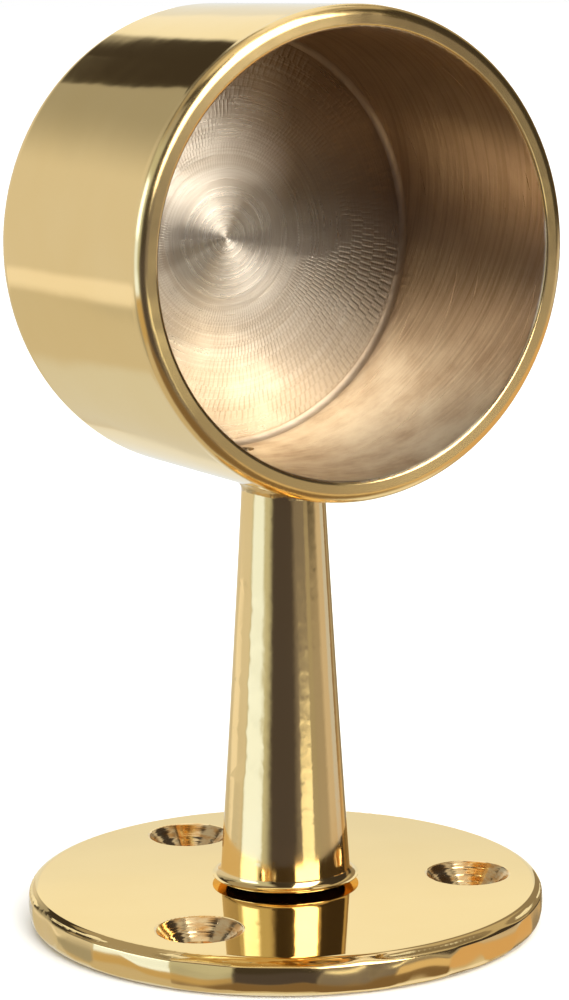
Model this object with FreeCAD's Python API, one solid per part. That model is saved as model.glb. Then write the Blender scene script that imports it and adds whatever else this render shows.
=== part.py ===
import FreeCAD, Part
import math
import os

# Closed-end rail socket bracket in polished brass: a socket that lies on its side, on a tapered stem,
# on a round flange with three countersunk screw holes. Millimetres.
# The origin is the centre of the flange's underside, +Z is up, and the socket's mouth faces -Y.

# ---- driving dimensions ----------------------------------------------------------------------

RAIL_DIAMETER = 50.8        # two-inch rail tube, which the socket is bored for
RAIL_CLEARANCE = 0.1        # radial gap between the rail and the bore
AXIS_HEIGHT = 81.3          # height of the rail's axis over the floor

SOCKET_WALL = 2.65          # thickness of the socket's round wall
SOCKET_MOUTH_Y = -17.45     # where the mouth's flat face lies
BORE_DEPTH = 30.8           # from the mouth to the flat inner end face
BACK_WALL = 6.4             # thickness of the closed end
MOUTH_OUTER_ROUND = 1.3     # polished outer edge of the mouth
MOUTH_INNER_ROUND = 0.5     # broken inner edge of the mouth
BACK_ROUND = 3.9            # polished outer edge of the closed end
BORE_CORNER_ROUND = 0.8     # nose radius of the boring tool, left between wall and end face

FLANGE_DIAMETER = 62.2
FLANGE_THICKNESS = 4.6
FLANGE_TOP_ROUND = 1.2      # the polished edge is a soft cushion: top round, side, bottom round
FLANGE_BOTTOM_ROUND = 1.4
FLANGE_SIDE_RADIUS = 6.0    # of the gently bulging side
FLANGE_WIDEST_Z = 2.5       # height at which the side stands out farthest

HOLE_COUNT = 3
HOLE_CIRCLE_DIAMETER = 44.45
HOLE_DIAMETER = 5.5
COUNTERSINK_DIAMETER = 10.5
COUNTERSINK_EDGE_ROUND = 0.35
FIRST_HOLE_ANGLE = 93.3     # the flange sits turned 3.3 degrees from the socket's axis

FOOT_DIAMETER = 17.7        # of the sharp ring round the stem's foot
FOOT_RING_HEIGHT = 0.7      # how high the ring stands over the flange, the foot is undercut below it
FOOT_RING_LAND = 0.05       # height of the ring's edge
FOOT_SEAT_DIAMETER = 13.0   # of the face that stands on the flange
COVE_RADIUS = 1.05
STEM_TOP_RADIUS = 4.95      # where the stem meets the socket's lowest line
STEM_HOLLOW = 0.08          # how far the taper's outline dips inside a straight line
BRAZE_RADIUS = 1.4          # hollow of the brazed fillet between the stem and the socket

STEM_SCREW_DIAMETER = 6.0   # countersunk hexagon socket screw, M6 by 20
STEM_SCREW_PITCH = 1.0
STEM_SCREW_LENGTH = 20.0
STEM_SCREW_HEAD_DIAMETER = 12.0
STEM_SCREW_HEAD_EDGE = 0.3  # height of the head's straight edge over its cone
STEM_SCREW_KEY = 4.0        # across the flats of its hexagon socket
STEM_SCREW_KEY_DEPTH = 2.4
STEM_SCREW_SUNK = 0.25      # how far the head's face lies inside the flange's underside
STEM_SCREW_GAP = 0.05       # radial gap between the screw and the flange
STEM_TAP_DEPTH = 18.0       # tapped hole in the stem, from its foot

SET_SCREW_DIAMETER = 3.0    # hexagon socket set screw with a cup point, M3 by 3
SET_SCREW_PITCH = 0.5
SET_SCREW_LENGTH = 3.0
SET_SCREW_KEY = 1.5
SET_SCREW_KEY_DEPTH = 1.2
SET_SCREW_CUP_DIAMETER = 1.4  # of the cup point that bites the rail
SET_SCREW_Y = 10.0          # behind the stem, on the socket's lowest line
SET_SCREW_SUNK = 0.15       # how far its tip lies below the bore when it is slack
SET_SCREW_GAP = 0.05        # radial gap between its crests and the hole

THREAD_DEPTH_PER_PITCH = 0.6
THREAD_CREST_PER_PITCH = 0.125

DRILL_POINT_HALF_ANGLE = 59.0

# ---- sizes worked out from them --------------------------------------------------------------

BORE_RADIUS = RAIL_DIAMETER / 2 + RAIL_CLEARANCE
SOCKET_RADIUS = BORE_RADIUS + SOCKET_WALL
END_FACE_Y = SOCKET_MOUTH_Y + BORE_DEPTH
SOCKET_BACK_Y = END_FACE_Y + BACK_WALL
SOCKET_BOTTOM_Z = AXIS_HEIGHT - SOCKET_RADIUS
FLANGE_RADIUS = FLANGE_DIAMETER / 2
FOOT_RADIUS = FOOT_DIAMETER / 2

ORIGIN = FreeCAD.Vector(0, 0, 0)
UP = FreeCAD.Vector(0, 0, 1)


# ---- helpers ---------------------------------------------------------------------------------

def line(a, b):
    """Straight edge between two (radius, height) points of an outline."""
    return Part.LineSegment(FreeCAD.Vector(a[0], 0, a[1]), FreeCAD.Vector(b[0], 0, b[1])).toShape()


def arc(a, middle, b):
    """Round edge through three (radius, height) points of an outline."""
    points = [FreeCAD.Vector(r, 0, z) for r, z in (a, middle, b)]
    return Part.Arc(*points).toShape()


def corner(centre, radius, start, end):
    """Round edge about a centre, between two angles in degrees, measured from outwards to up."""
    def at(angle):
        turn = math.radians(angle)
        return (centre[0] + radius * math.cos(turn), centre[1] + radius * math.sin(turn))
    return arc(at(start), at((start + end) / 2), at(end))


def turned(edges):
    """Solid of revolution about Z from the edges of a closed outline."""
    face = Part.Face(Part.Wire(edges))
    return face.revolve(ORIGIN, UP, 360)


def chained(points):
    """Straight edges from each point to the next."""
    return [line(a, b) for a, b in zip(points, points[1:])]


def rod(radius, low, high):
    """Upright cylinder on the Z axis between two heights."""
    return Part.makeCylinder(radius, high - low, FreeCAD.Vector(0, 0, low))


def hexagon(across_flats, low, high):
    """Upright hexagonal prism on the Z axis between two heights."""
    across_corners = across_flats / math.cos(math.radians(30))
    corners = []
    for k in range(7):
        turn = math.radians(60 * k)
        corners.append(FreeCAD.Vector(math.cos(turn), math.sin(turn), 0) * (across_corners / 2))
    prism = Part.Face(Part.makePolygon(corners)).extrude(UP * (high - low))
    prism.translate(UP * low)
    return prism


def laid_down(shape):
    """Turns a shape that was turned about Z so that its axis is the socket's, mouth to -Y."""
    shape.rotate(ORIGIN, FreeCAD.Vector(1, 0, 0), -90)
    shape.translate(UP * AXIS_HEIGHT)
    return shape


# ---- socket ----------------------------------------------------------------------------------

def socket_blank():
    """The socket's outside as a plain solid, with its rounded edges and no bore."""
    mouth = SOCKET_MOUTH_Y
    back = SOCKET_BACK_Y
    outline = [
        line((0, mouth), (SOCKET_RADIUS - MOUTH_OUTER_ROUND, mouth)),
        corner((SOCKET_RADIUS - MOUTH_OUTER_ROUND, mouth + MOUTH_OUTER_ROUND), MOUTH_OUTER_ROUND, -90, 0),
        line((SOCKET_RADIUS, mouth + MOUTH_OUTER_ROUND), (SOCKET_RADIUS, back - BACK_ROUND)),
        corner((SOCKET_RADIUS - BACK_ROUND, back - BACK_ROUND), BACK_ROUND, 0, 90),
        line((SOCKET_RADIUS - BACK_ROUND, back), (0, back)),
        line((0, back), (0, mouth)),
    ]
    return laid_down(turned(outline))


def socket_bore():
    """The space that the rail goes into, with the broken edge at its mouth."""
    mouth = SOCKET_MOUTH_Y
    past = mouth - 1
    end = END_FACE_Y
    edge_radius = BORE_RADIUS + MOUTH_INNER_ROUND
    outline = [
        line((0, past), (edge_radius, past)),
        line((edge_radius, past), (edge_radius, mouth)),
        corner((edge_radius, mouth + MOUTH_INNER_ROUND), MOUTH_INNER_ROUND, -90, -180),
        line((BORE_RADIUS, mouth + MOUTH_INNER_ROUND), (BORE_RADIUS, end - BORE_CORNER_ROUND)),
        corner((BORE_RADIUS - BORE_CORNER_ROUND, end - BORE_CORNER_ROUND), BORE_CORNER_ROUND, 0, 90),
        line((BORE_RADIUS - BORE_CORNER_ROUND, end), (0, end)),
        line((0, end), (0, past)),
    ]
    return laid_down(turned(outline))


def set_screw_hole():
    """Tapped hole through the socket's underside, drawn at the crest diameter plus the gap."""
    hole = rod(SET_SCREW_DIAMETER / 2 + SET_SCREW_GAP, SOCKET_BOTTOM_Z - 2, AXIS_HEIGHT - BORE_RADIUS + 2)
    hole.translate(FreeCAD.Vector(0, SET_SCREW_Y, 0))
    return hole


def socket_cup():
    return socket_blank().cut(socket_bore()).cut(set_screw_hole())


# ---- stem and its brazed joint ---------------------------------------------------------------

def stem_blank():
    """Turned stem, run up past the socket's lowest line, before its top is cut to the socket."""
    foot = FLANGE_THICKNESS
    seat_radius = FOOT_SEAT_DIAMETER / 2
    ring = foot + FOOT_RING_HEIGHT
    ring_top = ring + FOOT_RING_LAND
    waist_radius = FOOT_RADIUS - COVE_RADIUS
    waist = ring_top + COVE_RADIUS
    taper_height = SOCKET_BOTTOM_Z - waist
    top = SOCKET_BOTTOM_Z + STEM_TOP_RADIUS
    slope = (waist_radius - STEM_TOP_RADIUS) / taper_height
    middle = ((waist_radius + STEM_TOP_RADIUS) / 2 - STEM_HOLLOW, waist + taper_height / 2)
    outline = [
        line((0, foot), (seat_radius, foot)),
        line((seat_radius, foot), (FOOT_RADIUS, ring)),
        line((FOOT_RADIUS, ring), (FOOT_RADIUS, ring_top)),
        corner((FOOT_RADIUS, waist), COVE_RADIUS, -90, -180),
        arc((waist_radius, waist), middle, (STEM_TOP_RADIUS, SOCKET_BOTTOM_Z)),
        line((STEM_TOP_RADIUS, SOCKET_BOTTOM_Z), (STEM_TOP_RADIUS - slope * STEM_TOP_RADIUS, top)),
        line((STEM_TOP_RADIUS - slope * STEM_TOP_RADIUS, top), (0, top)),
        line((0, top), (0, foot)),
    ]
    return turned(outline)


def stem_tapped_hole():
    radius = STEM_SCREW_DIAMETER / 2
    low = FLANGE_THICKNESS - 1
    high = FLANGE_THICKNESS + STEM_TAP_DEPTH
    tip = high + radius / math.tan(math.radians(DRILL_POINT_HALF_ANGLE))
    outline = chained([(0, low), (radius, low), (radius, high), (0, tip), (0, low)])
    return turned(outline)


def stem():
    """The stem with its top cut to the socket's round and its foot tapped for the screw."""
    return stem_blank().cut(socket_blank()).cut(stem_tapped_hole())


def braze_fillet():
    """Ring of brazing metal: the fillet between socket and stem, less the two pieces it joins."""
    joined = stem_blank().fuse(socket_blank())
    seam = []
    for edge in joined.Edges:
        box = edge.BoundBox
        near_top = SOCKET_BOTTOM_Z - 1 < box.ZMin and box.ZMax < SOCKET_BOTTOM_Z + 2
        if near_top and box.XLength < 2.2 * STEM_TOP_RADIUS and box.YLength < 2.2 * STEM_TOP_RADIUS:
            seam.append(edge)
    filleted = joined.makeFillet(BRAZE_RADIUS, seam)
    ring = filleted.cut(stem_blank()).cut(socket_blank())
    return max(ring.Solids, key=lambda solid: solid.Volume)


# ---- flange ----------------------------------------------------------------------------------

def flange_blank():
    """Plate with a cushion edge: a top round, a bulging side and a bottom round that run into each other."""
    top = FLANGE_THICKNESS
    side_centre = (FLANGE_RADIUS - FLANGE_SIDE_RADIUS, FLANGE_WIDEST_Z)

    def round_centre(radius, height):
        """Centre of an edge round that touches the side's arc from inside, and its angle seen from there."""
        reach = FLANGE_SIDE_RADIUS - radius
        rise = height - side_centre[1]
        run = math.sqrt(reach * reach - rise * rise)
        return (side_centre[0] + run, height), math.degrees(math.atan2(rise, run))

    high_centre, high_angle = round_centre(FLANGE_TOP_ROUND, top - FLANGE_TOP_ROUND)
    low_centre, low_angle = round_centre(FLANGE_BOTTOM_ROUND, FLANGE_BOTTOM_ROUND)
    outline = [
        line((0, 0), (low_centre[0], 0)),
        corner(low_centre, FLANGE_BOTTOM_ROUND, -90, low_angle),
        corner(side_centre, FLANGE_SIDE_RADIUS, low_angle, high_angle),
        corner(high_centre, FLANGE_TOP_ROUND, high_angle, 90),
        line((high_centre[0], top), (0, top)),
        line((0, top), (0, 0)),
    ]
    return turned(outline)


def floor_screw_hole(angle):
    """Countersunk hole for a floor screw, with a softened edge, at an angle from +X."""
    top = FLANGE_THICKNESS
    hole_radius = HOLE_DIAMETER / 2
    mouth_radius = COUNTERSINK_DIAMETER / 2
    soft = COUNTERSINK_EDGE_ROUND
    rise = soft * (1 - math.cos(math.radians(45)))
    run = soft * math.sin(math.radians(45))
    cone_top = (mouth_radius - run, top - rise)
    cone_bottom = (hole_radius, cone_top[1] - (cone_top[0] - hole_radius))
    edge_middle = (
        mouth_radius - soft * math.sin(math.radians(22.5)),
        top - soft * (1 - math.cos(math.radians(22.5))),
    )
    outline = [
        line((0, -1), (hole_radius, -1)),
        line((hole_radius, -1), cone_bottom),
        line(cone_bottom, cone_top),
        arc(cone_top, edge_middle, (mouth_radius, top)),
        line((mouth_radius, top), (mouth_radius, top + 1)),
        line((mouth_radius, top + 1), (0, top + 1)),
        line((0, top + 1), (0, -1)),
    ]
    hole = turned(outline)
    turn = math.radians(angle)
    across = FreeCAD.Vector(math.cos(turn), math.sin(turn), 0)
    hole.translate(across * (HOLE_CIRCLE_DIAMETER / 2))
    return hole


def stem_screw_seat():
    """Hole and countersink in the flange's underside for the stem screw."""
    shank = STEM_SCREW_DIAMETER / 2 + STEM_SCREW_GAP
    head = STEM_SCREW_HEAD_DIAMETER / 2 + STEM_SCREW_GAP
    cone = STEM_SCREW_SUNK + STEM_SCREW_HEAD_EDGE
    neck = cone + head - shank
    above = FLANGE_THICKNESS + 1
    outline = chained([(0, -1), (head, -1), (head, cone), (shank, neck), (shank, above), (0, above), (0, -1)])
    return turned(outline)


def base_flange():
    plate = flange_blank().cut(stem_screw_seat())
    for k in range(HOLE_COUNT):
        plate = plate.cut(floor_screw_hole(FIRST_HOLE_ANGLE + k * 360 / HOLE_COUNT))
    return plate


# ---- screws ----------------------------------------------------------------------------------

def thread_rings(crest, pitch, low, high):
    """Outline points of a thread drawn as rings at the real pitch, as many as fit between two heights."""
    root = crest - pitch * THREAD_DEPTH_PER_PITCH
    flat = pitch * THREAD_CREST_PER_PITCH
    points = []
    for turn in range(int((high - low) / pitch)):
        z = low + turn * pitch
        points.append((crest, z))
        points.append((crest, z + flat))
        points.append((root, z + (flat + pitch) / 2))
    return points


def stem_screw():
    """Countersunk hexagon socket screw that pulls the stem down on the flange."""
    crest = STEM_SCREW_DIAMETER / 2
    head = STEM_SCREW_HEAD_DIAMETER / 2
    face = STEM_SCREW_SUNK
    cone = face + STEM_SCREW_HEAD_EDGE
    neck = cone + head - crest
    tip = face + STEM_SCREW_LENGTH
    chamfer = STEM_SCREW_PITCH * THREAD_DEPTH_PER_PITCH
    points = [(0, face), (head, face), (head, cone)]
    points += thread_rings(crest, STEM_SCREW_PITCH, neck, tip - chamfer)
    points += [(crest, tip - chamfer), (crest - chamfer, tip), (0, tip), (0, face)]
    key = hexagon(STEM_SCREW_KEY, face - 1, face + STEM_SCREW_KEY_DEPTH)
    return turned(chained(points)).cut(key)


def rail_set_screw():
    """Cup-point set screw at its slack place, with its hexagon socket facing down."""
    crest = SET_SCREW_DIAMETER / 2
    cup = SET_SCREW_CUP_DIAMETER / 2
    tip = AXIS_HEIGHT - BORE_RADIUS - SET_SCREW_SUNK
    key_end = tip - SET_SCREW_LENGTH
    chamfer = SET_SCREW_PITCH * THREAD_DEPTH_PER_PITCH
    shoulder = tip - (crest - cup)
    points = [(0, key_end), (crest - chamfer, key_end)]
    points += thread_rings(crest, SET_SCREW_PITCH, key_end + chamfer, shoulder)
    points += [(crest, shoulder), (cup, tip), (0, tip - cup), (0, key_end)]
    key = hexagon(SET_SCREW_KEY, key_end - 1, key_end + SET_SCREW_KEY_DEPTH)
    screw = turned(chained(points)).cut(key)
    screw.translate(FreeCAD.Vector(0, SET_SCREW_Y, 0))
    return screw


# ---- export ----------------------------------------------------------------------------------

PIECES = {
    "socket_cup": socket_cup,
    "stem": stem,
    "braze_fillet": braze_fillet,
    "base_flange": base_flange,
    "stem_screw": stem_screw,
    "rail_set_screw": rail_set_screw,
}

os.makedirs("parts", exist_ok=True)
for name, make in PIECES.items():
    shape = make()
    print(name, "solids", len(shape.Solids), "valid", shape.isValid(), "mm3", round(shape.Volume, 2))
    shape.exportStep("parts/" + name + ".step")
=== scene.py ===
import math

import bpy
from mathutils import Matrix, Vector


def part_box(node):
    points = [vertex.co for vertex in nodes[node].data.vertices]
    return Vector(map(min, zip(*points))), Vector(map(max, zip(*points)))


# Closed-end rail socket bracket in polished brass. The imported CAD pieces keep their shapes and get
# procedural finishes here: mirror-polished and lacquered outside, machine-turned inside the socket.
# Metres, +Z up, and the socket's mouth faces -Y. Angles are in degrees where a name or a comment
# says so, and in radians inside the shaders.

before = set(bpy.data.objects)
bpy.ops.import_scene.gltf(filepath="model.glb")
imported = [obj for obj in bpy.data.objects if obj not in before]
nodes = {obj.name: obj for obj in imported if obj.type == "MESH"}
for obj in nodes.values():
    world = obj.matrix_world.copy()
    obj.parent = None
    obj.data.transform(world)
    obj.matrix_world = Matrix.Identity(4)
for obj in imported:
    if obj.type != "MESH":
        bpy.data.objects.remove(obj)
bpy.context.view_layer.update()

MM = 0.001

# ---- places on the part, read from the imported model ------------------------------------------

socket_low, socket_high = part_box("socket_cup")
flange_low, flange_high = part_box("base_flange")

AXIS_Z = (socket_low.z + socket_high.z) / 2
SOCKET_RADIUS = (socket_high.x - socket_low.x) / 2
MOUTH_Y = socket_low.y
BACK_Y = socket_high.y
FLANGE_RADIUS = (flange_high.x - flange_low.x) / 2
FLANGE_TOP = flange_high.z

# Driving dimensions of the CAD model that its bounds don't give.
BORE_RADIUS = 25.5 * MM
END_FACE_Y = MOUTH_Y + 30.8 * MM
MOUTH_OUTER_ROUND = 1.3 * MM
MOUTH_INNER_ROUND = 0.5 * MM
BACK_ROUND = 3.9 * MM
CORNER_ROUND = 0.8 * MM
SET_SCREW_Y = 10.0 * MM
SET_SCREW_HOLE_RADIUS = 1.55 * MM
FLANGE_TOP_ROUND = 1.2 * MM
FLANGE_BOTTOM_ROUND = 1.4 * MM
FLANGE_SIDE_RADIUS = 6.0 * MM
FLANGE_WIDEST_Z = 2.5 * MM
HOLE_CIRCLE_RADIUS = 22.225 * MM
COUNTERSINK_RADIUS = 5.25 * MM
FIRST_HOLE_ANGLE = 93.3         # degrees from +X
HOLE_SPACING = 120.0            # degrees

# Limits that only the shading uses.
FACE_DOME = 0.13                # slope that the end face has at its edge
MOUTH_SPLIT = 0.9 * MM          # how far outside the bore the mouth's flat ring is split in two
BORE_SPLIT = 0.6 * MM           # how far behind the end face the inside still counts
FLANGE_EDGE_FROM = 28.6 * MM    # radius where the flange's exact edge normals begin
HOLE_MARGIN = 0.02 * MM         # how far the set screw's hole reaches past its edge


# ---- node helper -----------------------------------------------------------------------------

CELL_SMOOTHNESS = 0.25


class Graph:
    """Adds shader nodes to a tree and links them, so that a material reads from top to bottom."""

    def __init__(self, tree):
        self.tree = tree
        tree.nodes.clear()

    def node(self, kind, **settings):
        made = self.tree.nodes.new(kind)
        for key, value in settings.items():
            setattr(made, key, value)
        return made

    def feed(self, socket, value):
        """Links an output to an input, or sets the input to a value, unless it is None."""
        if isinstance(value, bpy.types.NodeSocket):
            self.tree.links.new(value, socket)
        elif value is not None:
            socket.default_value = value

    def math(self, operation, a, b=None, c=None):
        made = self.node("ShaderNodeMath", operation=operation)
        for socket, value in zip(made.inputs, (a, b, c)):
            self.feed(socket, value)
        return made.outputs[0]

    def add(self, a, b):
        return self.math("ADD", a, b)

    def minus(self, a, b):
        return self.math("SUBTRACT", a, b)

    def times(self, a, b):
        return self.math("MULTIPLY", a, b)

    def less(self, a, b):
        """1 where a is less than b, otherwise 0."""
        return self.math("LESS_THAN", a, b)

    def over(self, a, b):
        """How far a lies above b, never less than 0."""
        return self.math("MAXIMUM", self.minus(a, b), 0.0)

    def under(self, a, b):
        """How far a lies below b, as a negative number, never more than 0."""
        return self.math("MINIMUM", self.minus(a, b), 0.0)

    def length(self, a, b):
        """Length of a vector with the two components a and b."""
        return self.math("SQRT", self.add(self.times(a, a), self.times(b, b)))

    def smooth(self, value, low, high):
        """0 below low, 1 above high, with a soft step between. low may be the larger one."""
        made = self.node("ShaderNodeMapRange", interpolation_type="SMOOTHSTEP")
        if low > high:
            outputs = (1.0, 0.0)
            low, high = high, low
        else:
            outputs = (0.0, 1.0)
        names = ("From Min", "From Max", "To Min", "To Max")
        for name, number in zip(names, (low, high) + outputs):
            made.inputs[name].default_value = number
        self.feed(made.inputs["Value"], value)
        return made.outputs["Result"]

    def spread(self, value, low, high):
        """Stretches a 0 to 1 value to run from low to high."""
        made = self.node("ShaderNodeMapRange")
        made.inputs["To Min"].default_value = low
        made.inputs["To Max"].default_value = high
        self.feed(made.inputs["Value"], value)
        return made.outputs["Result"]

    def mix(self, factor, a, b):
        """Colour a where factor is 0 and colour b where it is 1."""
        made = self.node("ShaderNodeMix", data_type="RGBA")
        self.feed(made.inputs[0], factor)
        self.feed(made.inputs[6], a)
        self.feed(made.inputs[7], b)
        return made.outputs[2]

    def blend(self, factor, a, b):
        """Number a where factor is 0 and number b where it is 1."""
        made = self.node("ShaderNodeMix", data_type="FLOAT")
        self.feed(made.inputs[0], factor)
        self.feed(made.inputs[2], a)
        self.feed(made.inputs[3], b)
        return made.outputs[0]

    def vector(self, x, y, z):
        made = self.node("ShaderNodeCombineXYZ")
        for socket, value in zip(made.inputs, (x, y, z)):
            self.feed(socket, value)
        return made.outputs[0]

    def unit(self, vector):
        made = self.node("ShaderNodeVectorMath", operation="NORMALIZE")
        self.feed(made.inputs[0], vector)
        return made.outputs[0]

    def either(self, factor, a, b):
        """Vector a where factor is 0 and vector b where it is 1."""
        made = self.node("ShaderNodeMix", data_type="VECTOR")
        self.feed(made.inputs[0], factor)
        self.feed(made.inputs[4], a)
        self.feed(made.inputs[5], b)
        return made.outputs[1]

    def parts(self, vector):
        made = self.node("ShaderNodeSeparateXYZ")
        self.feed(made.inputs[0], vector)
        return made.outputs

    def noise(self, vector, scale, detail=2.0, roughness=0.5):
        made = self.node("ShaderNodeTexNoise")
        self.feed(made.inputs["Vector"], vector)
        made.inputs["Scale"].default_value = scale
        made.inputs["Detail"].default_value = detail
        made.inputs["Roughness"].default_value = roughness
        return made.outputs[0]

    def cells(self, vector, scale):
        """Distance from the nearest of many scattered points, slightly smoothed."""
        made = self.node("ShaderNodeTexVoronoi", feature="SMOOTH_F1")
        self.feed(made.inputs["Vector"], vector)
        made.inputs["Scale"].default_value = scale
        made.inputs["Smoothness"].default_value = CELL_SMOOTHNESS
        return made.outputs["Distance"]

    def bump(self, height, normal=None):
        """A normal from a height in metres, tilted from the given normal or from the mesh's own."""
        made = self.node("ShaderNodeBump")
        made.inputs["Strength"].default_value = 1.0
        made.inputs["Distance"].default_value = 1.0
        self.feed(made.inputs["Height"], height)
        if normal is not None:
            self.feed(made.inputs["Normal"], normal)
        return made.outputs[0]


def new_material(name):
    """A new material, its graph, its shader and a vector that gives the place in metres."""
    material = bpy.data.materials.new(name)
    material.use_nodes = True
    graph = Graph(material.node_tree)
    shader = graph.node("ShaderNodeBsdfPrincipled")
    output = graph.node("ShaderNodeOutputMaterial")
    graph.tree.links.new(shader.outputs[0], output.inputs["Surface"])
    place = graph.node("ShaderNodeTexCoord").outputs["Object"]
    return material, graph, shader, place


def dress(node, material):
    """Gives a CAD node its material in every slot it has."""
    target = nodes[node]
    if not target.material_slots:
        target.data.materials.append(material)
    for slot in target.material_slots:
        slot.material = material


# ---- finishes --------------------------------------------------------------------------------

# Polished brass, straight on and at a grazing angle.
POLISHED_LIGHT = (0.94, 0.72, 0.37, 1)
POLISHED_DEEP = (0.91, 0.67, 0.31, 1)
POLISHED_EDGE = (1.0, 0.93, 0.78, 1)

# The turned end face, and the dirt in its grooves, its chatter marks and its painted dark
# reflections.
TURNED_LIGHT = (0.96, 0.91, 0.84, 1)
TURNED_DEEP = (0.80, 0.72, 0.62, 1)
GROOVE_DIRT = (0.48, 0.36, 0.24, 1)
CHATTER_DIRT = (0.38, 0.29, 0.20, 1)
# The colour of the end face's painted dark reflections.
PAINTED_DARK_REFLECTION = (0.31, 0.23, 0.16, 1)

# The bored wall, its scratches, the painted highlight along its bottom and the painted shade in the
# corner where it meets the end face.
BORED_LIGHT = (0.74, 0.58, 0.41, 1)
BORED_DEEP = (0.47, 0.33, 0.22, 1)
SCRATCH_DIRT = (0.36, 0.23, 0.13, 1)
PAINTED_BOTTOM_HIGHLIGHT = (0.99, 0.92, 0.78, 1)
PAINTED_CORNER_SHADE = (0.40, 0.31, 0.23, 1)

COUNTERSUNK_LIGHT = (0.97, 0.78, 0.50, 1)
COUNTERSUNK_DEEP = (0.80, 0.46, 0.18, 1)
BRAZE_LIGHT = (0.94, 0.76, 0.42, 1)
BRAZE_DEEP = (0.76, 0.52, 0.24, 1)
STEEL_LIGHT = (0.50, 0.49, 0.47, 1)
STEEL_DEEP = (0.33, 0.32, 0.31, 1)

STEM_DRAW = 0.22       # the stem's waves are this many times as dense upwards as round it
# The end face's narrow dark fan is a painted dark reflection.
PAINTED_FAN_ANGLE = 2.88     # radians clockwise from +X to the end face's dark fan, seen from the mouth

# Heights of the marks and waves in the finishes. They are larger than real ones, so that they show
# from the camera's distance.
STEM_WAVE = 0.055 * MM
STEM_STREAK = 0.005 * MM
FLANGE_WAVE = 0.030 * MM
EDGE_DIMPLE = 0.42 * MM
EDGE_FACET = 0.85 * MM
COUNTERSINK_MARK = 0.12 * MM
FACE_RING = 0.050 * MM
FACE_COARSE_RING = 0.050 * MM
FACE_CHATTER = 0.030 * MM
FACE_GRAIN = 0.016 * MM
WALL_HOOP = 0.030 * MM
WALL_SCRATCH = 0.060 * MM
SOCKET_WAVE = 0.10 * MM
SOCKET_RIPPLE = 0.010 * MM
RIM_RIPPLE = 0.045 * MM
BRAZE_BLOTCH = 0.10 * MM
STEEL_GRAIN = 0.004 * MM

# The chatter marks: width of one ring band, and how far the bands wander.
CHATTER_BAND = 1.6 * MM
CHATTER_WANDER = 2.4 * MM

# The chatter's wave, in radians: for each radian round the face, from one band to the next, for
# each metre outwards, and from the bands' wandering.
CHATTER_ROUND = 180.0
CHATTER_STEP = 2.4
CHATTER_OUTWARDS = 1500.0
CHATTER_BEND = 16.0

# Clear lacquer, and how far the light spreads across the turning marks.
LACQUER_WEIGHT = 0.06
LACQUER_ROUGHNESS = 0.03
TURNED_SPREAD = 0.93
QUARTER_TURN = 0.25


def smooth_metal(shader):
    """Constants of clear-lacquered metal: full metal, a warm edge tint and a thin coat."""
    shader.inputs["Metallic"].default_value = 1.0
    shader.inputs["Specular Tint"].default_value = POLISHED_EDGE
    shader.inputs["Coat Weight"].default_value = LACQUER_WEIGHT
    shader.inputs["Coat Roughness"].default_value = LACQUER_ROUGHNESS


def stem_brass():
    """Polished along its length, so the slow waves are drawn out upwards."""
    material, g, shader, place = new_material("stem_brass")
    x, y, z = g.parts(place)
    drawn = g.vector(x, y, g.times(z, STEM_DRAW))
    tone = g.noise(place, 90.0, detail=3.0)
    streaks = g.noise(drawn, 700.0, detail=4.0)
    waves = g.noise(drawn, 210.0, detail=1.0)
    height = g.add(g.times(waves, STEM_WAVE), g.times(streaks, STEM_STREAK))
    g.feed(shader.inputs["Base Color"], g.mix(tone, POLISHED_LIGHT, POLISHED_DEEP))
    g.feed(shader.inputs["Roughness"], g.spread(streaks, 0.06, 0.13))
    g.feed(shader.inputs["Normal"], g.bump(height))
    smooth_metal(shader)
    return material


def flange_normal(g, x, y, z, radius):
    """The exact normal of the flange's cushion edge, from its three arcs.

    Each arc has its centre at a radius and a height. The side arc lies between the other two.
    """
    side_r = FLANGE_RADIUS - FLANGE_SIDE_RADIUS

    def round_r(size, height):
        """Radius of the centre of a round that touches the side arc from inside."""
        reach = FLANGE_SIDE_RADIUS - size
        rise = height - FLANGE_WIDEST_Z
        return side_r + math.sqrt(reach * reach - rise * rise)

    high_z = FLANGE_TOP - FLANGE_TOP_ROUND
    low_z = FLANGE_BOTTOM_ROUND
    high_r = round_r(FLANGE_TOP_ROUND, high_z)
    low_r = round_r(FLANGE_BOTTOM_ROUND, low_z)
    high_share = FLANGE_SIDE_RADIUS / (FLANGE_SIDE_RADIUS - FLANGE_TOP_ROUND)
    low_share = FLANGE_SIDE_RADIUS / (FLANGE_SIDE_RADIUS - FLANGE_BOTTOM_ROUND)
    above = g.less(FLANGE_WIDEST_Z + (high_z - FLANGE_WIDEST_Z) * high_share, z)
    below = g.less(z, FLANGE_WIDEST_Z + (low_z - FLANGE_WIDEST_Z) * low_share)
    out = g.minus(radius, side_r)
    out = g.blend(above, out, g.over(radius, high_r))
    out = g.blend(below, out, g.over(radius, low_r))
    up = g.minus(z, FLANGE_WIDEST_Z)
    up = g.blend(above, up, g.minus(z, high_z))
    up = g.blend(below, up, g.minus(z, low_z))
    share = g.math("DIVIDE", out, radius)
    return g.unit(g.vector(g.times(x, share), g.times(y, share), up))


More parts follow.
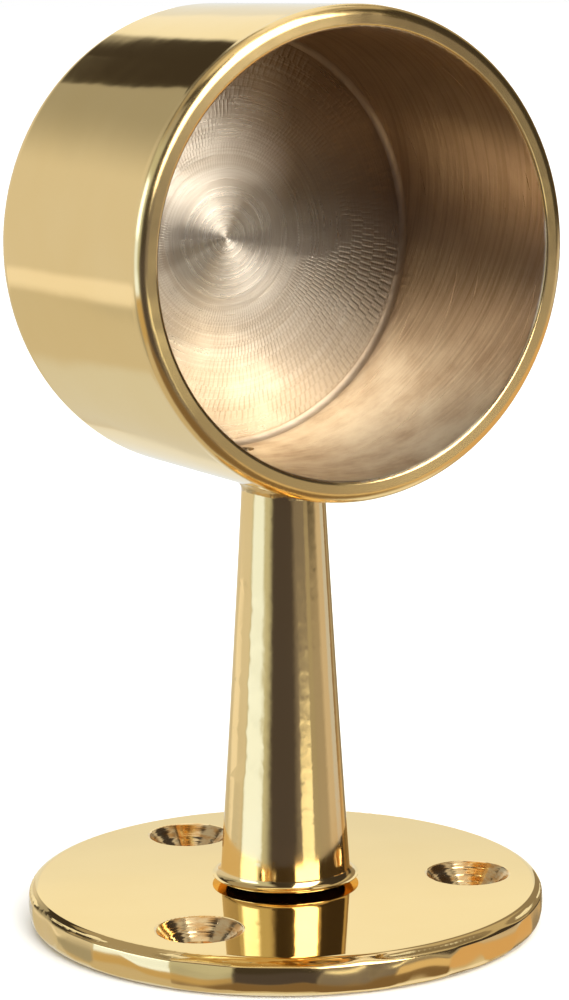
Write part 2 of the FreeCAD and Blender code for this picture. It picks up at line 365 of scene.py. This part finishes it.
def flange_brass():
    """Mirror-polished plate with a hand-polished edge and countersinks left as they were cut."""
    material, g, shader, place = new_material("flange_brass")
    x, y, z = g.parts(place)
    radius = g.length(x, y)
    angle = g.times(g.math("ARCTAN2", y, x), 180 / math.pi)

    # How far a point lies from the axis of the nearest of the three holes.
    half_gap = HOLE_SPACING / 2
    turned = g.math("WRAP", g.minus(angle, FIRST_HOLE_ANGLE), half_gap, -half_gap)
    turned = g.times(turned, math.pi / 180)
    beside = g.times(radius, g.math("SINE", turned))
    beyond = g.minus(g.times(radius, g.math("COSINE", turned)), HOLE_CIRCLE_RADIUS)
    from_hole = g.length(beside, beyond)
    around_hole = g.math("ARCTAN2", beside, beyond)
    in_hole = g.smooth(from_hole, COUNTERSINK_RADIUS + 0.05 * MM, COUNTERSINK_RADIUS - 0.35 * MM)
    on_edge = g.smooth(z, FLANGE_TOP - 0.15 * MM, FLANGE_TOP - 1.1 * MM)

    # Slow faint waves all over. The edge also has dimples and facets left by hand buffing.
    waves = g.noise(place, 60.0, detail=1.0)
    dimples = g.noise(g.vector(x, y, g.times(z, 1.4)), 120.0, detail=1.0)
    facets = g.cells(g.vector(x, y, g.times(z, 0.8)), 150.0)
    edge_height = g.add(g.times(dimples, EDGE_DIMPLE), g.times(facets, EDGE_FACET))
    polish = g.add(g.times(waves, FLANGE_WAVE), g.times(on_edge, edge_height))
    cutter_place = g.vector(from_hole, g.times(around_hole, 0.05 * MM), 0.0)
    marks = g.times(g.noise(cutter_place, 1500.0, detail=2.0), COUNTERSINK_MARK)
    exact = flange_normal(g, x, y, z, radius)
    mesh_normal = g.node("ShaderNodeNewGeometry").outputs["Normal"]
    normal = g.either(g.less(FLANGE_EDGE_FROM, radius), mesh_normal, exact)
    g.feed(shader.inputs["Normal"], g.bump(g.blend(in_hole, polish, marks), normal))

    tone = g.noise(place, 90.0, detail=3.0)
    grime = g.noise(g.vector(x, y, g.times(z, 3.0)), 520.0, detail=3.0)
    plain = g.mix(tone, POLISHED_LIGHT, POLISHED_DEEP)
    cut = g.mix(g.smooth(grime, 0.35, 0.7), COUNTERSUNK_LIGHT, COUNTERSUNK_DEEP)
    g.feed(shader.inputs["Base Color"], g.mix(in_hole, plain, cut))
    haze = g.noise(place, 400.0, detail=4.0)
    rough = g.add(g.spread(haze, 0.025, 0.055), g.times(on_edge, 0.10))
    g.feed(shader.inputs["Roughness"], g.blend(in_hole, rough, g.spread(grime, 0.06, 0.20)))
    smooth_metal(shader)
    return material


def socket_normal(g, x, y, up, radius):
    """The socket's exact normal, inside and outside, and a mask that is 1 on its inside.

    The end face is shaded as if it were slightly domed, as a light facing cut leaves it.
    """
    # The front half has the mouth's rounds, and the back half the end face's and the back's.
    front = g.less(y, 0.0)
    split_r = BORE_RADIUS + MOUTH_SPLIT
    out_front = g.over(radius, SOCKET_RADIUS - MOUTH_OUTER_ROUND)
    out_back = g.over(radius, SOCKET_RADIUS - BACK_ROUND)
    along_front = g.under(y, MOUTH_Y + MOUTH_OUTER_ROUND)
    along_back = g.over(y, BACK_Y - BACK_ROUND)
    outer_r = g.blend(front, out_back, out_front)
    outer_y = g.blend(front, along_back, along_front)

    face_r = BORE_RADIUS - CORNER_ROUND
    dome = g.times(g.less(radius, face_r), g.times(radius, FACE_DOME * CORNER_ROUND / face_r))
    wall_front = g.under(radius, BORE_RADIUS + MOUTH_INNER_ROUND)
    lip_front = g.under(y, MOUTH_Y + MOUTH_INNER_ROUND)
    wall_back = g.minus(dome, g.over(radius, face_r))
    face_back = g.times(g.over(y, END_FACE_Y - CORNER_ROUND), -1.0)
    inner_r = g.blend(front, wall_back, wall_front)
    inner_y = g.blend(front, face_back, lip_front)

    inside = g.times(g.less(radius, split_r), g.less(y, END_FACE_Y + BORE_SPLIT))
    out = g.blend(inside, outer_r, inner_r)
    along = g.blend(inside, outer_y, inner_y)
    share = g.math("DIVIDE", out, g.math("MAXIMUM", radius, 0.01 * MM))
    exact = g.unit(g.vector(g.times(x, share), along, g.times(up, share)))

    # The set screw's hole keeps the mesh's own normals.
    from_screw = g.length(x, g.minus(y, SET_SCREW_Y))
    in_hole = g.times(g.less(from_screw, SET_SCREW_HOLE_RADIUS + HOLE_MARGIN), g.less(up, 0.0))
    mesh_normal = g.node("ShaderNodeNewGeometry").outputs["Normal"]
    return g.either(in_hole, exact, mesh_normal), inside


def chatter(g, place, radius, angle):
    """Short radial dashes left by a chattering tool, out of step from one ring band to the next."""
    wander = g.noise(place, 120.0, detail=1.0)
    wandered = g.add(radius, g.times(wander, CHATTER_WANDER))
    band = g.math("FLOOR", g.math("DIVIDE", wandered, CHATTER_BAND))
    shift = g.add(g.times(band, CHATTER_STEP), g.times(radius, CHATTER_OUTWARDS))
    phase = g.add(g.times(angle, CHATTER_ROUND), shift)
    phase = g.add(phase, g.times(wander, CHATTER_BEND))
    return g.spread(g.math("SINE", phase), 0.5, 1.0)


def socket_brass():
    """Polished outside, turned inside. One material, because the socket is one piece."""
    material, g, shader, place = new_material("socket_brass")
    x, y, z = g.parts(place)
    up = g.minus(z, AXIS_Z)
    radius = g.length(x, up)
    angle = g.math("ARCTAN2", up, x)
    exact, inner_side = socket_normal(g, x, y, up, radius)

    turned_from = g.smooth(y, MOUTH_Y + 0.05 * MM, MOUTH_Y + 0.25 * MM)
    within = g.smooth(radius, BORE_RADIUS + 0.40 * MM, BORE_RADIUS + 0.25 * MM)
    inside = g.times(g.times(within, turned_from), inner_side)
    face_radius = BORE_RADIUS - CORNER_ROUND
    on_face = g.smooth(radius, face_radius + 0.05 * MM, face_radius)
    on_face = g.times(on_face, g.less(END_FACE_Y - 0.4 * MM, y))
    near_face = g.smooth(y, END_FACE_Y - 1.0 * MM, END_FACE_Y - 0.7 * MM)
    corner = g.times(near_face, g.minus(1.0, on_face))

    # Turning marks on the end face: fine and coarse rings, chatter in patches, and grain.
    ring_place = g.vector(radius, g.times(angle, 0.10 * MM), 0.0)
    rings = g.noise(ring_place, 2200.0, detail=5.0, roughness=0.75)
    coarse_rings = g.noise(g.vector(radius, 0.0, 0.0), 520.0, detail=2.0)
    dashes = chatter(g, place, radius, angle)
    dash_patches = g.smooth(g.noise(place, 110.0, detail=3.0), 0.36, 0.58)
    dash_mask = g.times(g.smooth(radius, 5.0 * MM, 12.0 * MM), dash_patches)
    dashes = g.times(dashes, dash_mask)
    grain = g.noise(place, 1300.0, detail=3.0)
    ring_height = g.add(g.times(rings, FACE_RING), g.times(coarse_rings, FACE_COARSE_RING))
    face_height = g.add(ring_height, g.times(dashes, FACE_CHATTER))
    face_height = g.add(face_height, g.times(grain, FACE_GRAIN))

    # On the bore's wall: hoops from boring and slanting scratches from rails pushed in.
    hoop_place = g.vector(y, g.times(angle, 0.3 * MM), 0.0)
    hoops = g.noise(hoop_place, 2400.0, detail=4.0, roughness=0.7)
    slant = g.add(y, g.times(angle, 9.0 * MM))
    scratches = g.noise(g.vector(slant, g.times(angle, 0.8 * MM), 0.0), 1500.0, detail=4.0)
    wall_height = g.add(g.times(hoops, WALL_HOOP), g.times(scratches, WALL_SCRATCH))
    turned_height = g.blend(on_face, wall_height, face_height)

    # Outside: slow waves, and ripples that are strongest round the mouth.
    waves = g.noise(place, 62.0, detail=1.0)
    ripples = g.noise(place, 240.0, detail=1.0)
    on_rim = g.smooth(y, MOUTH_Y + 2.2 * MM, MOUTH_Y + 1.2 * MM)
    ripple_height = g.add(SOCKET_RIPPLE, g.times(on_rim, RIM_RIPPLE))
    polish = g.add(g.times(waves, SOCKET_WAVE), g.times(ripples, ripple_height))
    g.feed(shader.inputs["Normal"], g.bump(g.blend(inside, polish, turned_height), exact))

    tone = g.noise(place, 90.0, detail=3.0)
    stain = g.noise(place, 160.0, detail=5.0, roughness=0.6)
    outer = g.mix(tone, POLISHED_LIGHT, POLISHED_DEEP)

    # Painted dark reflections: seen from the mouth, the end face is painted darker over its upper
    # right quarter, along a narrow fan on the left, and towards the bottom.
    quarter = g.times(g.smooth(up, -3.0 * MM, 6.0 * MM), g.smooth(x, 3.0 * MM, 10.0 * MM))
    fan = g.smooth(g.math("ABSOLUTE", g.add(angle, PAINTED_FAN_ANGLE)), 0.24, 0.04)
    low = g.smooth(up, -12.0 * MM, -24.0 * MM)
    painted_darkness = g.add(g.times(quarter, 0.92), g.times(fan, 0.50))
    painted_darkness = g.add(painted_darkness, g.times(low, 0.50))
    face = g.mix(stain, TURNED_LIGHT, TURNED_DEEP)
    face = g.mix(painted_darkness, face, PAINTED_DARK_REFLECTION)
    face = g.mix(g.times(g.smooth(rings, 0.62, 0.40), 0.34), face, GROOVE_DIRT)
    face = g.mix(g.times(dashes, 0.50), face, CHATTER_DIRT)

    # Painted highlight: the wall is painted paler, in patches, along its bottom.
    bottom_highlight = g.times(g.smooth(up, -6.0 * MM, -24.0 * MM), g.smooth(stain, 0.85, 0.25))
    wall = g.mix(stain, BORED_LIGHT, BORED_DEEP)
    wall = g.mix(g.times(g.smooth(scratches, 0.55, 0.40), 0.35), wall, SCRATCH_DIRT)
    wall = g.mix(bottom_highlight, wall, PAINTED_BOTTOM_HIGHLIGHT)
    # Painted shade in the corner where the wall meets the end face.
    wall = g.mix(g.times(corner, 0.7), wall, PAINTED_CORNER_SHADE)
    inner = g.mix(on_face, wall, face)
    g.feed(shader.inputs["Base Color"], g.mix(inside, outer, inner))

    haze = g.noise(place, 400.0, detail=4.0)
    outer_rough = g.add(g.spread(haze, 0.03, 0.06), g.times(on_rim, 0.12))
    face_rough = g.add(g.spread(rings, 0.32, 0.23), g.times(dashes, 0.05))
    wall_rough = g.spread(hoops, 0.34, 0.24)
    inner_rough = g.blend(on_face, wall_rough, face_rough)
    inner_rough = g.blend(corner, inner_rough, 0.42)
    g.feed(shader.inputs["Roughness"], g.blend(inside, outer_rough, inner_rough))
    smooth_metal(shader)

    # Every mark runs round the socket's axis, so the light spreads across that direction.
    shader.inputs["Anisotropic"].default_value = TURNED_SPREAD
    shader.inputs["Anisotropic Rotation"].default_value = QUARTER_TURN
    tangent = g.node("ShaderNodeTangent", direction_type="RADIAL", axis="Y")
    g.feed(shader.inputs["Tangent"], tangent.outputs[0])
    return material


def braze_metal():
    """Brazing metal, paler than the brass and blotchy where it flowed."""
    material, g, shader, place = new_material("braze_metal")
    blotch = g.noise(place, 900.0, detail=4.0)
    g.feed(shader.inputs["Base Color"], g.mix(blotch, BRAZE_LIGHT, BRAZE_DEEP))
    g.feed(shader.inputs["Roughness"], g.spread(blotch, 0.05, 0.20))
    g.feed(shader.inputs["Normal"], g.bump(g.times(blotch, BRAZE_BLOTCH)))
    shader.inputs["Metallic"].default_value = 1.0
    return material


def screw_steel():
    """Plain grey steel with a fine grain."""
    material, g, shader, place = new_material("screw_steel")
    grain = g.noise(place, 1500.0, detail=4.0)
    g.feed(shader.inputs["Base Color"], g.mix(grain, STEEL_LIGHT, STEEL_DEEP))
    g.feed(shader.inputs["Roughness"], g.spread(grain, 0.25, 0.42))
    g.feed(shader.inputs["Normal"], g.bump(g.times(grain, STEEL_GRAIN)))
    shader.inputs["Metallic"].default_value = 1.0
    return material


steel = screw_steel()
dress("socket_cup", socket_brass())
dress("stem", stem_brass())
dress("base_flange", flange_brass())
dress("braze_fillet", braze_metal())
dress("stem_screw", steel)
dress("rail_set_screw", steel)


# ---- studio ----------------------------------------------------------------------------------

FLOOR_HALF = 15.0
FLOOR_GREY = (0.90, 0.90, 0.90, 1)
FLOOR_ROUGHNESS = 0.9
BACKDROP = (1.0, 1.0, 1.0, 1)


def studio_floor():
    """A wide plain pale floor. The brass mirrors the room's own table instead."""
    half = FLOOR_HALF
    corners = [(-half, -half, 0), (half, -half, 0), (half, half, 0), (-half, half, 0)]
    mesh = bpy.data.meshes.new("floor")
    mesh.from_pydata([Vector(c) for c in corners], [], [(0, 1, 2, 3)])
    floor = bpy.data.objects.new("floor", mesh)
    bpy.context.scene.collection.objects.link(floor)
    material, _graph, shader, _place = new_material("pale_floor")
    shader.inputs["Base Color"].default_value = FLOOR_GREY
    shader.inputs["Roughness"].default_value = FLOOR_ROUGHNESS
    mesh.materials.append(material)
    floor.visible_glossy = False


# The room that the brass mirrors, as soft panels far away. Each panel has a plain name, its first
# and last azimuth, its lowest and highest elevation, the softness of its sides and of its upper and
# lower edges, all in degrees, and its colour as a brightness. Azimuth 0 is +Y, 90 is +X and -90 is
# -X. Later panels stand in front of earlier ones. The ceiling and the table fill what is left.
CEILING = (0.050, 0.042, 0.034)
TABLE = (0.62, 0.56, 0.44)
ROOM = [
    ("ceiling light", -200, 200, 64, 92, 2, 8, (0.80, 0.72, 0.56)),
    ("right wall", 55, 155, 16, 60, 10, 14, (0.56, 0.50, 0.38)),
    ("left wall, dim top", -128, -46, 20, 52, 14, 10, (0.42, 0.41, 0.38)),
    ("left wall", -122, -40, -16, 40, 12, 12, (0.58, 0.62, 0.56)),
    ("left table", -60, -15, -30, -8, 10, 8, (0.50, 0.42, 0.29)),
    ("dim back wall", -52, 16, -30, 31, 4, 3, (0.40, 0.40, 0.37)),
    ("back wall", -60, 16, -14, 19, 8, 12, (0.74, 0.73, 0.70)),
    ("ceiling over the back wall", -70, 20, 36, 68, 10, 6, (0.40, 0.36, 0.28)),
    ("gap over the back wall", -4.4, 18, 25.7, 36, 0.8, 0.6, CEILING),
    ("gap, lower end", 6, 18, 24.8, 28, 0.8, 0.6, CEILING),
    ("bright strip", -32, -14, -14, -9, 6, 2, (0.96, 0.95, 0.94)),
    ("back table", -24, 16, -40, -13, 4, 3, (0.66, 0.64, 0.58)),
    ("left softbox", -98, -64, -15, 24, 9, 5, (0.97, 1.20, 1.60)),
    ("left softbox, top", -98, -64, 6, 26, 9, 5, (2.00, 2.45, 3.10)),
    ("left softbox, foot", -105, -64, -15, -7.5, 6, 2, (1.05, 1.30, 1.75)),
    ("left table, yellow", -118, -62, -30, -15, 8, 4, (0.60, 0.46, 0.24)),
    ("front right wall", 149, 192, 7, 62, 2, 10, (5.00, 4.75, 4.25)),
    ("dark front table", 184, 242, -31, -1, 20, 6, (0.078, 0.068, 0.075)),
    ("front right floor", 138, 186, -31, 2, 14, 6, (0.22, 0.20, 0.20)),
    ("brown front table", 126, 256, -75, -29, 14, 8, (0.22, 0.15, 0.08)),
    ("right shade", 60, 146, -14, -5, 12, 4, (0.42, 0.38, 0.33)),
    ("right flag", 74, 143, -5, 50, 6, 4, (0.05, 0.042, 0.036)),
    ("right reflector", 82, 118, -13, -4, 12, 4, (0.65, 0.58, 0.52)),
    ("right reflector, far end", 80, 97, -14, -4, 6, 4, (0.62, 0.66, 0.80)),
    ("right gap", 71, 80, -40, 17, 4, 4, (0.30, 0.22, 0.13)),
    ("orange table", 62, 134, -36, -13, 8, 4, (0.72, 0.49, 0.26)),
    ("front right glow", 155, 178, -12, -7.8, 4, 2, (1.40, 1.34, 1.06)),
    ("front right table", 134, 162, -33, -17, 8, 4, (0.76, 0.60, 0.36)),
    ("front right glow, inner", 143, 155, -13, -4, 5, 4, (0.42, 0.39, 0.32)),
    ("white table", 44, 112, -80, -40, 10, 8, (0.95, 0.94, 0.92)),
    ("right edge strip", 40, 60, -60, 60, 6, 6, (0.30, 0.26, 0.20)),
    ("back panel", 14, 44, -90, 88, 2, 6, (1.00, 1.03, 1.00)),
    ("back panel, low part", 14, 44, -80, 16.8, 2, 2, (0.86, 0.91, 0.94)),
    ("high back panel", -4, 92, 58, 88, 8, 8, (1.00, 0.98, 0.95)),
    ("back table, blue", -14, 19, -60, -25, 4, 2, (0.72, 0.76, 0.80)),
]


def studio_room():
    """Lights the part with the room's panels, and shows the camera a plain backdrop."""
    world = bpy.data.worlds.new("studio")
    bpy.context.scene.world = world
    world.use_nodes = True
    g = Graph(world.node_tree)
    direction = g.node("ShaderNodeTexCoord").outputs["Generated"]
    x, y, z = g.parts(direction)
    azimuth = g.times(g.math("ARCTAN2", x, y), 180 / math.pi)
    elevation = g.times(g.math("ARCSINE", z), 180 / math.pi)
    colour = g.mix(g.smooth(elevation, -6, -14), CEILING + (1,), TABLE + (1,))
    for _name, first, last, low, high, side_soft, edge_soft, bright in ROOM:
        middle = (first + last) / 2
        half = (last - first) / 2
        aside = g.math("ABSOLUTE", g.math("WRAP", g.minus(azimuth, middle), 180.0, -180.0))
        across = g.smooth(aside, half + side_soft / 2, half - side_soft / 2)
        above = g.smooth(elevation, low - edge_soft / 2, low + edge_soft / 2)
        below = g.smooth(elevation, high + edge_soft / 2, high - edge_soft / 2)
        colour = g.mix(g.times(across, g.times(above, below)), colour, bright + (1,))
    seen = g.node("ShaderNodeLightPath").outputs["Is Camera Ray"]
    shown = g.mix(seen, colour, BACKDROP)
    background = g.node("ShaderNodeBackground")
    g.feed(background.inputs["Color"], shown)
    output = g.node("ShaderNodeOutputWorld")
    g.tree.links.new(background.outputs[0], output.inputs["Surface"])


SUN_POWER = 3.0
SUN_WIDTH = 110        # degrees across, for a shadow with no edge
SUN_TILT = (12, 14)    # degrees about X and Y


def soft_sun():
    """Even top light for the floor and its soft shadow. The brass doesn't mirror it."""
    light = bpy.data.lights.new("top_light", "SUN")
    light.energy = SUN_POWER
    light.angle = math.radians(SUN_WIDTH)
    lamp = bpy.data.objects.new("top_light", light)
    bpy.context.scene.collection.objects.link(lamp)
    lamp.rotation_euler = (math.radians(SUN_TILT[0]), math.radians(SUN_TILT[1]), 0)
    lamp.visible_glossy = False


studio_floor()
studio_room()
soft_sun()


# ---- camera ----------------------------------------------------------------------------------

CAMERA_AT = Vector((-174.73, -299.45, 111.26)) * MM
CAMERA_TURN = -30.294       # degrees about +Z from looking along +Y; negative is towards +X
CAMERA_DROP = 8.832         # degrees that it looks down
CAMERA_ROLL = 0.336         # degrees
CAMERA_SENSOR = 36          # millimetres, the long side
CAMERA_LENS = 106.52        # millimetres
CAMERA_SHIFT = -0.053       # as a share of the long side
CAMERA_NEAR = 0.01          # metres
CAMERA_FAR = 100            # metres


def camera():
    """Looks at the mouth from its left and from a little above."""
    turn = math.radians(CAMERA_TURN)
    drop = math.radians(CAMERA_DROP)
    roll = math.radians(CAMERA_ROLL)
    flat_ahead = Vector((-math.sin(turn), math.cos(turn), 0))
    ahead = flat_ahead * math.cos(drop) - Vector((0, 0, math.sin(drop)))
    level = Vector((math.cos(turn), math.sin(turn), 0))
    down = -level.cross(ahead)
    right = level * math.cos(roll) + down * math.sin(roll)
    low = down * math.cos(roll) - level * math.sin(roll)
    data = bpy.data.cameras.new("camera")
    data.lens = CAMERA_LENS
    data.sensor_width = CAMERA_SENSOR
    data.shift_y = CAMERA_SHIFT
    data.clip_start = CAMERA_NEAR
    data.clip_end = CAMERA_FAR
    made = bpy.data.objects.new("camera", data)
    bpy.context.scene.collection.objects.link(made)
    rotation = Matrix((right, -low, -ahead)).transposed()
    made.matrix_world = Matrix.Translation(CAMERA_AT) @ rotation.to_4x4()
    bpy.context.scene.camera = made


camera()
bpy.context.scene.view_settings.view_transform = "Standard"
